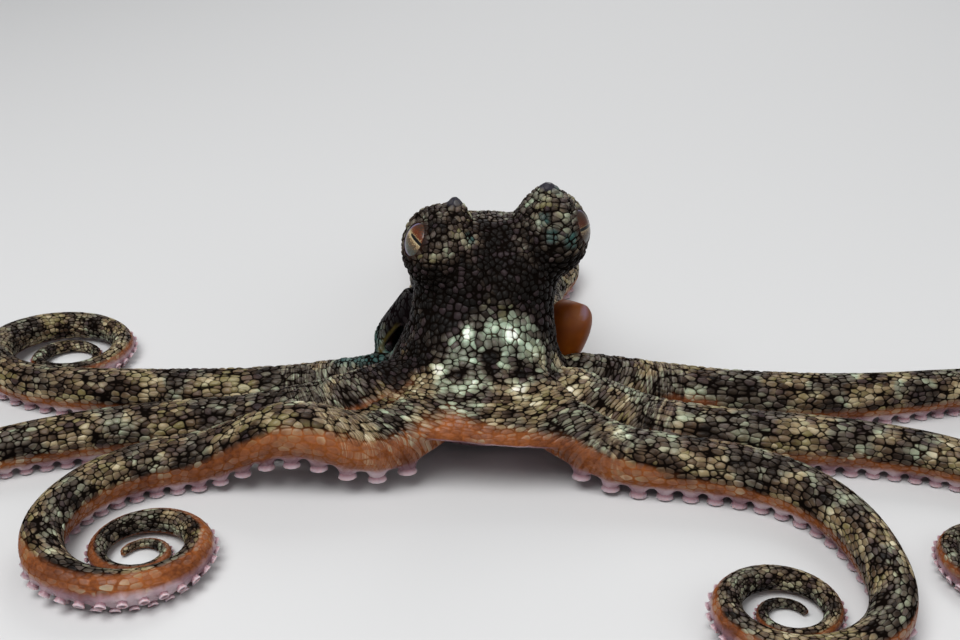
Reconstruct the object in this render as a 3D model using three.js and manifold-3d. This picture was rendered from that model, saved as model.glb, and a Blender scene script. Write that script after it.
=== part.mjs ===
// A common octopus resting on a flat floor with its head raised and its arms spread, in millimetres,
// +Z up. The origin is the middle of the arm crown at floor level. The animal faces -Y, so its own
// left side is +X.

import * as THREE from "three";
import { mergeVertices } from "three/addons/utils/BufferGeometryUtils.js";
import Module from "manifold-3d";

const wasm = await Module();
wasm.setup();

// Driving sizes
const gap = 0.3; // clear space between neighbouring pieces
const armRootReach = 21; // from the origin to where an arm's centre line starts
const armRootRadius = 9.8;
const armTipRadius = 1.1;
const armTaper = 0.95;
const armCuts = [92, 190]; // where an arm is parted into base, middle and tip
const baseRings = 7; // facets along each part of an arm
const middleRings = 7;
const tipRings = 11;
const oralFlat = 0.8; // depth of the arm's flat underside, in arm radii
const suckerFoot = 1.12; // depth of the suckers' rims, in arm radii
const suckerRow = 0.42; // distance of a sucker row from the centre line, in arm radii
const suckerRadius = 0.34; // in arm radii
const firstSucker = 27; // along the arm, past the ones hidden round the mouth
const neckCut = 40; // height where the head is parted from the crown
const headPlace = new THREE.Vector3(3, 2, 0);
const headTurn = THREE.MathUtils.degToRad(10);
const eyeRadius = 8;
const mantleFront = 17;
const mantleReach = 104;
const skinTone = { arm: 0x8a6a55, web: 0x9c6248, crown: 0x8f9a86, head: 0x5f6152, mantle: 0x6d6a5c };

// Arms in order round the crown. Azimuths are from the front towards the animal's left, in degrees.
// Each bend is a length and the angle it turns; the rest of the arm is a coil between two radii.
const arms = [
  { name: "arm_left_1", azimuth: 27, length: 285, suckers: 12, rootHeight: 21, settle: 42, arch: 0,
    bends: [[34, 56], [34, -6], [40, -62], [30, -24]], coil: [24, 5], turn: -1 },
  { name: "arm_left_2", azimuth: 64, length: 300, suckers: 4, rootHeight: 15, settle: 36, arch: 0,
    bends: [[26, 6], [40, 20], [44, -16], [46, -50]], coil: [28, 6], turn: -1 },
  { name: "arm_left_3", azimuth: 100, length: 315, suckers: 4, rootHeight: 11, settle: 24, arch: 0,
    bends: [[24, -24], [40, 14], [60, 16], [40, -30]], coil: [27, 6], turn: -1 },
  { name: "arm_left_4", azimuth: 152, length: 214, suckers: 4, rootHeight: 14, settle: 30, arch: 0,
    bends: [[16, 7], [22, 23], [16, 0], [22, -36], [12, 18]], coil: [20.5, 6], turn: 1 },
  { name: "arm_right_4", azimuth: -152, length: 242, suckers: 4, rootHeight: 14, settle: 30, arch: 0,
    bends: [[16, -7], [22, -23], [90, 4]], coil: [17.5, 6], turn: -1 },
  { name: "arm_right_3", azimuth: -99, length: 305, suckers: 4, rootHeight: 11, settle: 24, arch: 0,
    bends: [[22, 22], [40, -18], [50, -6], [20, -20]], coil: [27, 6], turn: -1 },
  { name: "arm_right_2", azimuth: -62, length: 308, suckers: 4, rootHeight: 18, settle: 60, arch: 0,
    bends: [[36, -30], [50, 8], [48, 22], [40, 42]], coil: [27, 6], turn: 1 },
  { name: "arm_right_1", azimuth: -24, length: 288, suckers: 12, rootHeight: 21, settle: 40, arch: 9,
    bends: [[32, -60], [36, -16], [32, 40], [40, 74]], coil: [24, 5], turn: 1 },
];
const archMiddle = 52; // along the arm
const archSpan = 32;
const tipRoll = THREE.MathUtils.degToRad(52); // a coiled end leans over, suckers outward
const rollSpan = [0.4, 0.62]; // in arm lengths
const bendBlend = 12; // half the length over which one bend runs into the next

// The web between two arms: how far it follows each of them, and its middle rib's reach and height
// at the crown, halfway and at the free margin.
const webs = [
  { name: "web_front", between: [7, 0], azimuth: 0, follow: [46, 46],
    rib: [[25, 31], [36, 24.5], [43.5, 16.5]] },
  { name: "web_left_12", between: [0, 1], azimuth: 48, follow: [66, 60],
    rib: [[23, 22], [39, 15], [55, 6]] },
  { name: "web_left_23", between: [1, 2], azimuth: 82, follow: [62, 58],
    rib: [[22, 18], [38, 11], [54, 5]] },
  { name: "web_left_34", between: [2, 3], azimuth: 130, follow: [46, 46],
    rib: [[20, 17], [29, 10], [38, 4.5]] },
  { name: "web_back", between: [3, 4], azimuth: 180, follow: [46, 46],
    rib: [[20, 14], [29, 8], [38, 4.5]] },
  { name: "web_right_34", between: [4, 5], azimuth: -130, follow: [46, 46],
    rib: [[20, 17], [29, 10], [38, 4.5]] },
  { name: "web_right_23", between: [5, 6], azimuth: -84, follow: [64, 64],
    rib: [[22, 21], [40, 14], [58, 6]] },
  { name: "web_right_12", between: [6, 7], azimuth: -51, follow: [64, 60],
    rib: [[23, 26], [40, 20], [56, 12]] },
];
const webThickness = [3.2, 1.8]; // at the crown and at the margin
const webSeat = 0.35; // height over an arm's centre line where the web meets it, in arm radii

// The bell of neck and crown: height, reach to the front, the sides and the back, shift of its middle
// towards the animal's left
const bell = [
  [0, 15, 15, 15, 0],
  [4, 22, 22, 22, -1],
  [9, 26, 26, 25, -2],
  [14, 28.5, 28, 25, -2.5],
  [20, 31, 27, 25, -2.5],
  [26, 32.5, 24.5, 25, -2.5],
  [31, 29, 23, 24.5, -1.5],
  [36, 23.5, 21.5, 23, -1],
  [44, 16.5, 21, 22, -0.5],
  [54, 12, 19, 20, 1],
];

// The mantle from front to tip: share of its length, half width, top, bottom
const mantleTable = [
  [0, 18, 47, 26],
  [0.12, 21, 51, 16],
  [0.25, 23.5, 49, 7],
  [0.45, 25, 43, 3],
  [0.65, 25, 37, 8],
  [0.85, 22.5, 31, 12],
  [1, 18, 25, 14],
];
const mantleBluntness = [7, 3.2]; // of its front and of its tip
const mantleShift = -1; // it lies a little to the animal's right

const { lerp, smoothstep, clamp, degToRad } = THREE.MathUtils;

function between(table, x, column) {
  const last = table.length - 1;
  if (x <= table[0][0]) return table[0][column];
  if (x >= table[last][0]) return table[last][column];
  const i = table.findIndex((row) => row[0] > x);
  const [low, high] = [table[i - 1], table[i]];
  return lerp(low[column], high[column], (x - low[0]) / (high[0] - low[0]));
}

// Solids from three.js geometry

function solid(geometry) {
  const bare = geometry.clone();
  bare.deleteAttribute("normal");
  bare.deleteAttribute("uv");
  const merged = mergeVertices(bare, 1e-4);
  const corners = new Uint32Array(merged.index.array);
  const make = () =>
    new wasm.Manifold(
      new wasm.Mesh({
        numProp: 3,
        vertProperties: merged.attributes.position.array,
        triVerts: corners,
      }),
    );
  const first = make();
  if (first.volume() > 0) return first;
  for (let i = 0; i < corners.length; i += 3)
    [corners[i], corners[i + 1]] = [corners[i + 1], corners[i]];
  return make();
}

// Moves each vertex of a geometry to where place(x, y, z) puts it.
function warp(geometry, place) {
  const position = geometry.getAttribute("position");
  for (let i = 0; i < position.count; i++) {
    const p = place(position.getX(i), position.getY(i), position.getZ(i));
    position.setXYZ(i, p.x, p.y, p.z);
  }
  return geometry;
}

function geometryOf(body) {
  const mesh = body.getMesh();
  const points = new Float32Array(mesh.numVert * 3);
  for (let i = 0; i < mesh.numVert; i++)
    points.set(mesh.vertProperties.subarray(i * mesh.numProp, i * mesh.numProp + 3), i * 3);
  const geometry = new THREE.BufferGeometry();
  geometry.setAttribute("position", new THREE.BufferAttribute(points, 3));
  geometry.setIndex(new THREE.BufferAttribute(new Uint32Array(mesh.triVerts), 1));
  geometry.computeVertexNormals();
  return geometry;
}

const slab = (low, high) =>
  solid(new THREE.BoxGeometry(700, 700, high - low).translate(0, 0, (low + high) / 2));
const aboveFloor = slab(0, 200);
const largest = (body) =>
  body.decompose().reduce((most, piece) => (piece.volume() > most.volume() ? piece : most));

function ball(centre, radii, grow = 0, turn = 0, around = 12, up = 7) {
  const geometry = new THREE.SphereGeometry(1, around, up).rotateX(Math.PI / 2);
  geometry.scale(radii[0] + grow, radii[1] + grow, radii[2] + grow).rotateZ(turn);
  return solid(geometry.translate(...centre));
}

// Arms

const armRadius = (arm, s) =>
  armTipRadius + (armRootRadius - armTipRadius) * Math.max(0, 1 - s / arm.length) ** armTaper;

function plainCurvature(arm, s) {
  let start = 0;
  for (const [length, angle] of arm.bends) {
    if (s < start + length) return degToRad(angle) / length;
    start += length;
  }
  const share = (s - start) / (arm.length - start);
  return arm.turn / lerp(arm.coil[0], arm.coil[1], share);
}

function curvature(arm, s) {
  const steps = 9;
  let sum = 0;
  for (let i = 0; i < steps; i++)
    sum += plainCurvature(arm, Math.max(0, s + bendBlend * ((2 * i) / (steps - 1) - 1)));
  return sum / steps;
}

// Corners of the arm's section in arm radii: a round back and a flat sole of the given depth
const sectionSides = 8;
function sectionCorner(k, depth) {
  const half = [[0.5, 0.98], [1, 0.12], [0.9, -0.5], [0.62, -depth]];
  return k < 4 ? half[k] : [-half[7 - k][0], half[7 - k][1]];
}

// Height of the centre line over the floor for an arm that leans over by roll
function restHeight(roll, side) {
  let lowest = 0;
  for (let k = 0; k < sectionSides; k++) {
    const [across, up] = sectionCorner(k, suckerFoot);
    lowest = Math.min(lowest, up * Math.cos(roll) - side * across * Math.sin(roll));
  }
  return -lowest;
}

// The centre line in steps of one millimetre
function walk(arm) {
  const frames = [];
  let heading = degToRad(arm.azimuth - 90);
  let x = armRootReach * Math.cos(heading);
  let y = armRootReach * Math.sin(heading);
  for (let s = 0; s <= arm.length; s++) {
    const radius = armRadius(arm, s);
    const roll = tipRoll * smoothstep(s / arm.length, ...rollSpan);
    const floorHeight = radius * restHeight(roll, arm.turn);
    const settled = smoothstep(s, 0, arm.settle);
    const arch = arm.arch * Math.max(0, Math.cos(((s - archMiddle) / archSpan) * (Math.PI / 2))) ** 2;
    const archHeight = Math.abs(s - archMiddle) < archSpan ? arch : 0;
    const z = lerp(arm.rootHeight, floorHeight, settled) + archHeight;
    const left = new THREE.Vector3(-Math.sin(heading), Math.cos(heading), 0);
    const across = left.clone().multiplyScalar(Math.cos(roll));
    across.z -= arm.turn * Math.sin(roll);
    const up = left.clone().multiplyScalar(arm.turn * Math.sin(roll));
    up.z += Math.cos(roll);
    frames.push({ centre: new THREE.Vector3(x, y, z), across, up, radius });
    heading += curvature(arm, s);
    x += Math.cos(heading);
    y += Math.sin(heading);
  }
  return frames;
}

for (const arm of arms) arm.frames = walk(arm);

// A point beside an arm's centre line, with its offsets in arm radii and a growth in millimetres
function armPoint(arm, s, across, up, grow = 0) {
  const reach = Math.hypot(across, up) || 1;
  const i = Math.min(Math.floor(s), arm.frames.length - 2);
  const [a, b] = [arm.frames[i], arm.frames[i + 1]];
  const t = s - i;
  const radius = lerp(a.radius, b.radius, t);
  const point = a.centre.clone().lerp(b.centre, t);
  point.addScaledVector(a.across, across * radius + (grow * across) / reach);
  return point.addScaledVector(a.up, up * radius + (grow * up) / reach);
}

// A length of arm. Its sole has the depth that soleDepth(s) gives, and its rings crowd to its far
// end by the power crowding.
function armTube(arm, from, to, rings, soleDepth, { grow = 0, crowding = 1 } = {}) {
  const geometry = new THREE.CylinderGeometry(1, 1, 1, sectionSides, rings);
  const place = (x, y, z) => {
    const s = Math.max(0, lerp(from - grow, to + grow, (y + 0.5) ** crowding));
    if (Math.hypot(x, z) < 0.5) return armPoint(arm, s, 0, 0);
    const k = Math.round((Math.atan2(x, z) / (2 * Math.PI)) * sectionSides + sectionSides);
    return armPoint(arm, s, ...sectionCorner(k % sectionSides, soleDepth(s)), grow);
  };
  return solid(warp(geometry, place));
}

function sucker(arm, s, side) {
  const frame = arm.frames[Math.round(s)];
  const radius = frame.radius * suckerRadius;
  const top = armPoint(arm, s, side * suckerRow, -0.55);
  const foot = armPoint(arm, s, side * suckerRow, -suckerFoot);
  const geometry = new THREE.CylinderGeometry(radius * 0.8, radius, top.distanceTo(foot), 5, 1);
  const forward = new THREE.Vector3().crossVectors(frame.across, frame.up);
  const stand = new THREE.Matrix4().makeBasis(frame.across, frame.up, forward);
  stand.setPosition(top.add(foot).multiplyScalar(0.5));
  return solid(geometry.applyMatrix4(stand));
}

// The root length of an arm: its first suckers stand free, and past them the rows run on as a sole.
const suckerStep = (arm, s) => arm.frames[Math.round(s)].radius * suckerRadius * 1.1;

function armBase(arm) {
  const places = [firstSucker];
  while (places.length < arm.suckers) places.push(places.at(-1) + suckerStep(arm, places.at(-1)));
  const end = places.at(-1) + 2;
  const soleDepth = (s) => lerp(oralFlat, suckerFoot, smoothstep(s, end, end + 4));
  const body = armTube(arm, 0, armCuts[0], baseRings, soleDepth);
  return places.reduce((whole, s, i) => whole.add(sucker(arm, s, i % 2 ? 1 : -1)), body);
}

const part = new THREE.Group();
const pieces = new Map();
const keep = (name, body, color, roughness = 0.5) => {
  const material = new THREE.MeshStandardMaterial({ color, roughness, metalness: 0 });
  const sunk = body.boundingBox().min[2] < -0.01;
  const mesh = new THREE.Mesh(geometryOf(largest(sunk ? body.intersect(aboveFloor) : body)), material);
  mesh.name = name;
  part.add(mesh);
  pieces.set(name, mesh);
};

// Bell, head and eyes

function bellReach(z, azimuth) {
  const ahead = Math.cos(azimuth);
  const length = between(bell, z, ahead > 0 ? 1 : 3);
  const width = between(bell, z, 2);
  return 1 / Math.hypot(ahead / length, Math.sin(azimuth) / width);
}

function bellBody(low, high, rows, grow = 0) {
  const geometry = new THREE.CylinderGeometry(1, 1, 1, 18, rows);
  const place = (x, y, z) => {
    const height = lerp(low - grow, high + grow, y + 0.5);
    const azimuth = Math.atan2(x, z);
    const reach = Math.hypot(x, z) < 0.5 ? 0 : bellReach(height, azimuth) + grow;
    const across = reach * Math.sin(azimuth) + between(bell, height, 4);
    return new THREE.Vector3(across, -reach * Math.cos(azimuth), height);
  };
  return solid(warp(geometry, place));
}

const headAxis = new THREE.Vector3(0, 0, 1);
const onHead = (x, y, z) =>
  new THREE.Vector3(x, y, z).applyAxisAngle(headAxis, headTurn).add(headPlace);

// Each side of the head: its eye mound, the way the eye looks, how far the eyeball is from the mound's
// middle, and its horn's shift to the animal's left, root radius and height
const sides = [
  { name: "left", mound: onHead(16.5, 0, 61), look: [0.89, -0.33, 0.32], depth: 4.5,
    horn: [0, 6.5, 2.6] },
  { name: "right", mound: onHead(-16.2, 0, 58.5), look: [-0.68, -0.55, 0.45], depth: 4.7,
    horn: [4.2, 4.4, 1.7] },
];
const hornRoot = 3; // depth to which a horn is sunk in its mound
const moundRadii = [11.8, 12.8, 13];
for (const side of sides) {
  const look = new THREE.Vector3(...side.look).normalize();
  side.eye = side.mound.clone().addScaledVector(look, side.depth);
}

const eyeBall = (side, grow = 0) =>
  ball(side.eye.toArray(), [eyeRadius, eyeRadius, eyeRadius], grow, 0, 10, 7);

function horn(side) {
  const [inward, radius, height] = side.horn;
  const geometry = new THREE.CylinderGeometry(0.9, radius, height + hornRoot, 5).rotateX(Math.PI / 2);
  const middle = side.mound.z + moundRadii[2] + (height - hornRoot) / 2;
  return solid(geometry.translate(side.mound.x + inward, side.mound.y + 1, middle));
}

function headBody(grow = 0) {
  let body = bellBody(neckCut + gap / 2, 54, 2, grow);
  body = body.add(ball([1, 4, 48], [21, 20, 19], grow, headTurn, 14, 8));
  for (const side of sides)
    body = body.add(ball(side.mound.toArray(), moundRadii, grow, headTurn));
  if (!grow) for (const side of sides) body = body.add(horn(side));
  return body.intersect(slab(neckCut + gap / 2 - grow, 100));
}

const crownBody = (grow = 0) => bellBody(0, neckCut - gap / 2, 7, grow);

// Mantle

function mantleSack(grow = 0) {
  const geometry = new THREE.SphereGeometry(1, 14, 10);
  const place = (x, y, z) => {
    const share = (1 - y) / 2;
    const ring = Math.hypot(x, z) || 1;
    const bluntness = mantleBluntness[share < 0.5 ? 0 : 1];
    const close = Math.sqrt(Math.max(0, 1 - Math.abs(2 * share - 1) ** bluntness));
    const width = between(mantleTable, share, 1) * close + grow;
    const top = between(mantleTable, share, 2);
    const bottom = between(mantleTable, share, 3);
    const half = ((top - bottom) / 2) * close + grow;
    return new THREE.Vector3(
      mantleShift * smoothstep(share, 0, 0.4) + (width * x) / ring,
      mantleFront + mantleReach * share,
      (top + bottom) / 2 + (half * z) / ring,
    );
  };
  return solid(warp(geometry, place));
}

// The free edge of the mantle's opening, flared out on the animal's right
const collarEdge = new THREE.CatmullRomCurve3(
  [[-20, 10, 38], [-27.5, 9, 33.5], [-33, 9, 23], [-36, 9, 15]].map((p) => new THREE.Vector3(...p)),
);
const collarRoot = new THREE.CatmullRomCurve3(
  [[-18, 32, 31], [-22, 34, 25], [-25, 36, 17], [-25, 38, 10]].map((p) => new THREE.Vector3(...p)),
);
const collarThickness = 3;

function collar(grow = 0) {
  const geometry = new THREE.BoxGeometry(1, 1, 1, 4, 3, 1);
  const place = (x, y, z) => {
    const edge = collarEdge.getPoint(x + 0.5);
    const root = collarRoot.getPoint(x + 0.5);
    const outward = new THREE.Vector3(-0.8, 0.1, 0.55).normalize();
    const bulge = Math.sin((y + 0.5) * Math.PI) * 2;
    return edge.lerp(root, y + 0.5).addScaledVector(outward, bulge + z * (collarThickness + 2 * grow));
  };
  return solid(warp(geometry, place));
}

const mantlePocket = () => ball([-25, 21, 25], [8.5, 10, 9]);

// Funnel, a flattened lobe whose opening is turned to the back

const funnelLine = new THREE.CatmullRomCurve3(
  [[19, 17, 8.5], [22.5, 16.5, 17], [26, 17, 26], [27.5, 20.5, 32]].map((p) => new THREE.Vector3(...p)),
);
const funnelTable = [
  [0, 5, 5],
  [0.3, 7, 5.6],
  [0.6, 7.4, 5.6],
  [0.85, 6.8, 5],
  [1, 4.6, 3.8],
];
const funnelBore = [2.6, 0.8]; // radius of its opening and where along the funnel it ends

function funnelTube(from, to, rings, radii) {
  const geometry = new THREE.CylinderGeometry(1, 1, 1, 10, rings);
  const place = (x, y, z) => {
    const t = lerp(from, to, y + 0.5);
    const inside = clamp(t, 0, 1);
    const along = funnelLine.getTangent(inside);
    const beyond = (t - inside) * funnelLine.getLength();
    const centre = funnelLine.getPoint(inside).addScaledVector(along, beyond);
    const side = new THREE.Vector3(0, 1, 0).cross(along).normalize();
    const front = along.clone().cross(side);
    const [width, depth] = radii(inside);
    return centre.addScaledVector(side, x * width).addScaledVector(front, z * depth);
  };
  return solid(warp(geometry, place));
}

function funnelBody(grow = 0) {
  const past = grow / funnelLine.getLength();
  return funnelTube(-past, 1 + past, 5, (t) => [1, 2].map((k) => between(funnelTable, t, k) + grow));
}

// Webs

function webPoint(web, u, v) {
  const [a, b] = web.between.map((i) => arms[i]);
  const onA = armPoint(a, lerp(2, web.follow[0], v), 0, webSeat);
  const onB = armPoint(b, lerp(2, web.follow[1], v), 0, webSeat);
  const [near, middle, far] = web.rib;
  const mix = (k) =>
    near[k] * (1 - v) * (1 - 2 * v) + middle[k] * 4 * v * (1 - v) + far[k] * v * (2 * v - 1);
  const turn = degToRad(web.azimuth);
  const rib = new THREE.Vector3(mix(0) * Math.sin(turn), -mix(0) * Math.cos(turn), mix(1));
  onA.multiplyScalar((1 - u) * (1 - 2 * u));
  onB.multiplyScalar(u * (2 * u - 1));
  return rib.multiplyScalar(4 * u * (1 - u)).add(onA).add(onB);
}

function webSheet(web, grow = 0) {
  const geometry = new THREE.BoxGeometry(1, 1, 1, 6, 3, 1);
  const place = (x, y, z) => {
    const [u, v, step] = [x + 0.5, y + 0.5, 0.01];
    const point = webPoint(web, u, v);
    const alongU = webPoint(web, u + step, v).sub(point);
    const alongV = webPoint(web, u, v + step).sub(point);
    const normal = alongV.cross(alongU).normalize();
    return point.addScaledVector(normal, z * (lerp(...webThickness, v) + 2 * grow));
  };
  return solid(warp(geometry, place));
}

// Assembly: each piece is cut clear of the ones that it leans on

const cut = (body, ...others) => others.reduce((rest, other) => rest.subtract(other), body);
const crownGrown = crownBody(gap);
const headGrown = headBody(gap);
const fullDepth = () => suckerFoot;
const armsGrown = arms.map((arm) => armTube(arm, 0, armCuts[0], baseRings, fullDepth, { grow: gap }));

keep("crown", crownBody(), skinTone.crown);

let head = headBody();
for (const side of sides) head = cut(head, eyeBall(side, gap));
keep("head", head, skinTone.head);
for (const side of sides) keep("eye_" + side.name, eyeBall(side), 0xb07a3c, 0.15);

arms.forEach((arm, i) => {
  const body = armBase(arm);
  const middle = armTube(arm, armCuts[0] + gap, armCuts[1], middleRings, fullDepth);
  const tip = armTube(arm, armCuts[1] + gap, arm.length, tipRings, fullDepth, { crowding: 0.8 });
  keep(arm.name + "_base", cut(body, crownGrown, ...armsGrown.slice(0, i)), skinTone.arm);
  keep(arm.name + "_middle", middle, skinTone.arm);
  keep(arm.name + "_tip", tip, skinTone.arm);
});

for (const web of webs)
  keep(web.name, cut(webSheet(web), crownGrown, ...armsGrown), skinTone.web, 0.4);

const websGrown = webs.map((web) => webSheet(web, gap));
const funnel = cut(
  funnelBody(),
  funnelTube(funnelBore[1], 1.1, 2, () => [funnelBore[0], funnelBore[0]]),
  crownGrown,
  headGrown,
  ...armsGrown,
  ...websGrown,
);
keep("funnel", funnel, 0xb5652c, 0.35);

const rearGrown = [3, 4].map((i) =>
  armTube(arms[i], armCuts[0], armCuts[1], middleRings, fullDepth, { grow: gap }),
);
const mantle = cut(
  mantleSack().subtract(mantlePocket()).add(collar()),
  crownGrown,
  headGrown,
  funnelBody(gap),
  ...armsGrown,
  ...rearGrown,
  ...websGrown,
);
keep("mantle", mantle, skinTone.mantle);

export default part;
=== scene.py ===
import math
import bpy
import numpy as np
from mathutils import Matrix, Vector, kdtree


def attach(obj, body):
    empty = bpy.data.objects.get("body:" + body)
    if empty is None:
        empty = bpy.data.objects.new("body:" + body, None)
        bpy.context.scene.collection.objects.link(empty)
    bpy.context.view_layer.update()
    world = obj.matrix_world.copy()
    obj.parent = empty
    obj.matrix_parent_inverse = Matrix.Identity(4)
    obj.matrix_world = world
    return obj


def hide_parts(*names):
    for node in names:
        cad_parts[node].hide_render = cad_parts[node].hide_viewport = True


# A common octopus resting on a floor with its head raised. The animal faces -Y, so its own left is +X.
# Sizes here are in millimetres and become metres as the vertices are placed.

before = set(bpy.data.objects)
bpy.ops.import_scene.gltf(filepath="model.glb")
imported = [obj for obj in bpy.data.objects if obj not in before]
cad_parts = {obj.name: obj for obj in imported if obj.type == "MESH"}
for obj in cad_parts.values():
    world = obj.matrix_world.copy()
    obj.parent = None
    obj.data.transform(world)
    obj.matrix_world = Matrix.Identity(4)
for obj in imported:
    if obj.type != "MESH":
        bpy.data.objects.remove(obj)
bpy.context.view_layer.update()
mm = 0.001
bpy.ops.object.select_all(action="DESELECT")


# Small helpers

def smoothStep(x, low, high):
    t = np.clip((x - low) / (high - low), 0, 1)
    return t * t * (3 - 2 * t)


def blendTo(a, b, share):
    return a + (b - a) * share


def column(table, x, number=1):
    rows = np.array(table, float)
    return np.interp(x, rows[:, 0], rows[:, number])


def unit(direction):
    return np.array(direction) / np.linalg.norm(direction)


def farFrom(spots, place, reach=1):
    return np.linalg.norm((spots - place) / reach, axis=1)


def readSpots(piece):
    spots = np.empty(len(piece.data.vertices) * 3)
    piece.data.vertices.foreach_get("co", spots)
    return spots.reshape(-1, 3) / mm


def readNormals(piece):
    normals = np.empty(len(piece.data.vertices) * 3)
    piece.data.vertex_normals.foreach_get("vector", normals)
    return normals.reshape(-1, 3)


def placeSpots(piece, spots):
    piece.data.vertices.foreach_set("co", (np.asarray(spots) * mm).ravel())
    piece.data.update()


def selectOnly(*pieces):
    bpy.ops.object.select_all(action="DESELECT")
    for piece in pieces:
        piece.select_set(True)
    bpy.context.view_layer.objects.active = pieces[0]


def closeShell(piece):
    merge = 0.002
    selectOnly(piece)
    bpy.ops.object.mode_set(mode="EDIT")
    bpy.ops.mesh.select_all(action="SELECT")
    bpy.ops.mesh.remove_doubles(threshold=merge * mm)
    bpy.ops.mesh.normals_make_consistent(inside=False)
    bpy.ops.object.mode_set(mode="OBJECT")


# A grid whose corners run from 0 to 1 both ways, moved to where place(u, v) puts them.
def shapedGrid(name, across, along, place):
    bpy.ops.mesh.primitive_grid_add(x_subdivisions=across, y_subdivisions=along, size=1)
    piece = bpy.context.object
    piece.name = name
    corners = readSpots(piece) * mm + 0.5
    placeSpots(piece, place(corners[:, 0], corners[:, 1]))
    closeShell(piece)
    return piece


def shapedBall(name, centre, radii, turn=0.0, segments=40, rings=26):
    bpy.ops.mesh.primitive_uv_sphere_add(segments=segments, ring_count=rings, radius=mm,
                                         location=Vector(centre) * mm, rotation=(0, 0, turn), scale=radii)
    piece = bpy.context.object
    piece.name = name
    bpy.ops.object.transform_apply(location=True, rotation=True, scale=True)
    return piece


def applyModifier(piece, kind, **settings):
    modifier = piece.modifiers.new(kind.lower(), kind)
    for name, value in settings.items():
        setattr(modifier, name, value)
    selectOnly(piece)
    bpy.ops.object.modifier_apply(modifier=modifier.name)


def joinPieces(name, pieces):
    selectOnly(*pieces)
    bpy.ops.object.join()
    pieces[0].name = name
    pieces[0].data.name = name
    return pieces[0]


def weighVertices(piece, name, weights):
    group = piece.vertex_groups.new(name=name)
    steps = 20  # a weight is rounded to one of these, so that each goes in at one call
    levels = np.round(np.clip(weights, 0, 1) * steps).astype(int)
    for level in range(1, steps + 1):
        chosen = np.nonzero(levels == level)[0].tolist()
        if chosen:
            group.add(chosen, level / steps, "REPLACE")
    return name


def storeAttribute(piece, name, values):
    kind, field = ("FLOAT", "value") if np.ndim(values) == 1 else ("FLOAT_VECTOR", "vector")
    attributes = piece.data.attributes
    attribute = attributes.get(name) or attributes.new(name, kind, "POINT")
    attribute.data.foreach_set(field, np.asarray(values, np.float32).ravel())


def countTriangles(piece):
    sides = np.empty(len(piece.data.polygons), int)
    piece.data.polygons.foreach_get("loop_total", sides)
    return int((sides - 2).sum())


# One mesh of many copies of a small model: each copy has a place, three directions and a size.
def scatterCopies(name, model, places, axes, sizes):
    corners = readSpots(model)
    turned = np.einsum("nij,mi->nmj", np.asarray(axes), corners) * np.asarray(sizes)[:, None, None]
    spots = (turned + np.asarray(places)[:, None, :]).reshape(-1, 3)
    faces = [tuple(face.vertices) for face in model.data.polygons]
    step = len(corners)
    copies = [tuple(corner + number * step for corner in face)
              for number in range(len(places)) for face in faces]
    mesh = bpy.data.meshes.new(name)
    mesh.from_pydata((spots * mm).tolist(), [], copies)
    piece = bpy.data.objects.new(name, mesh)
    bpy.context.scene.collection.objects.link(piece)
    return piece


# Arms

armShape = {
    "rootReach": 21,  # from the mouth to where the centre line starts
    "rootRadius": 9.8,
    "tipRadius": 1.1,
    "taper": 0.95,
    "archMiddle": 52,
    "archSpan": 32,
    "tipRoll": math.radians(52),  # a coiled end leans over, suckers outward
    "rollSpan": (0.4, 0.62),
    "bendBlend": 12,  # length over which one bend passes into the next
    "bendSteps": 9,
    "bottomCorners": [(0.9, -0.5), (0.62, -1.12)],  # what the arm lies on, across and up, in arm radii
    "middle": 0.12,  # the section's widest place, its top above that and its sole below, in arm radii
    "top": 0.9,
    "sole": 0.94,
    "flatness": (0.75, 0.86),
    "rootCap": 6,  # length over which the root closes
    "skin": (1.35, 1.15),  # where its skin begins and is full, in arm radii from the centre line
    "around": 28,
    "ring": 1.2,  # spacing of the rings
}
# Azimuths are from the front towards the animal's left. Each bend is a length and the angle that it
# turns, and the rest of the arm is a coil between two radii.
arms = [
    {"name": "left_1", "azimuth": 27, "length": 285, "rootHeight": 21, "settle": 42, "arch": 0,
     "bends": [(34, 56), (34, -6), (40, -62), (30, -24)], "coil": (24, 5), "turn": -1},
    {"name": "left_2", "azimuth": 64, "length": 300, "rootHeight": 15, "settle": 36, "arch": 0,
     "bends": [(26, 6), (40, 20), (44, -16), (46, -50)], "coil": (28, 6), "turn": -1},
    {"name": "left_3", "azimuth": 100, "length": 315, "rootHeight": 11, "settle": 24, "arch": 0,
     "bends": [(24, -24), (40, 14), (60, 16), (40, -30)], "coil": (27, 6), "turn": -1},
    {"name": "left_4", "azimuth": 152, "length": 214, "rootHeight": 14, "settle": 30, "arch": 0,
     "bends": [(16, 7), (22, 23), (16, 0), (22, -36), (12, 18)], "coil": (20.5, 6), "turn": 1},
    {"name": "right_4", "azimuth": -152, "length": 242, "rootHeight": 14, "settle": 30, "arch": 0,
     "bends": [(16, -7), (22, -23), (90, 4)], "coil": (17.5, 6), "turn": -1},
    {"name": "right_3", "azimuth": -99, "length": 305, "rootHeight": 11, "settle": 24, "arch": 0,
     "bends": [(22, 22), (40, -18), (50, -6), (20, -20)], "coil": (27, 6), "turn": -1},
    {"name": "right_2", "azimuth": -62, "length": 308, "rootHeight": 18, "settle": 60, "arch": 0,
     "bends": [(36, -30), (50, 8), (48, 22), (40, 42)], "coil": (27, 6), "turn": 1},
    {"name": "right_1", "azimuth": -24, "length": 288, "rootHeight": 21, "settle": 40, "arch": 9,
     "bends": [(32, -60), (36, -16), (32, 40), (40, 74)], "coil": (24, 5), "turn": 1},
]


def plainCurvature(arm, s):
    start = 0
    for length, angle in arm["bends"]:
        if s < start + length:
            return math.radians(angle) / length
        start += length
    share = (s - start) / (arm["length"] - start)
    return arm["turn"] / blendTo(*arm["coil"], share)


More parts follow.
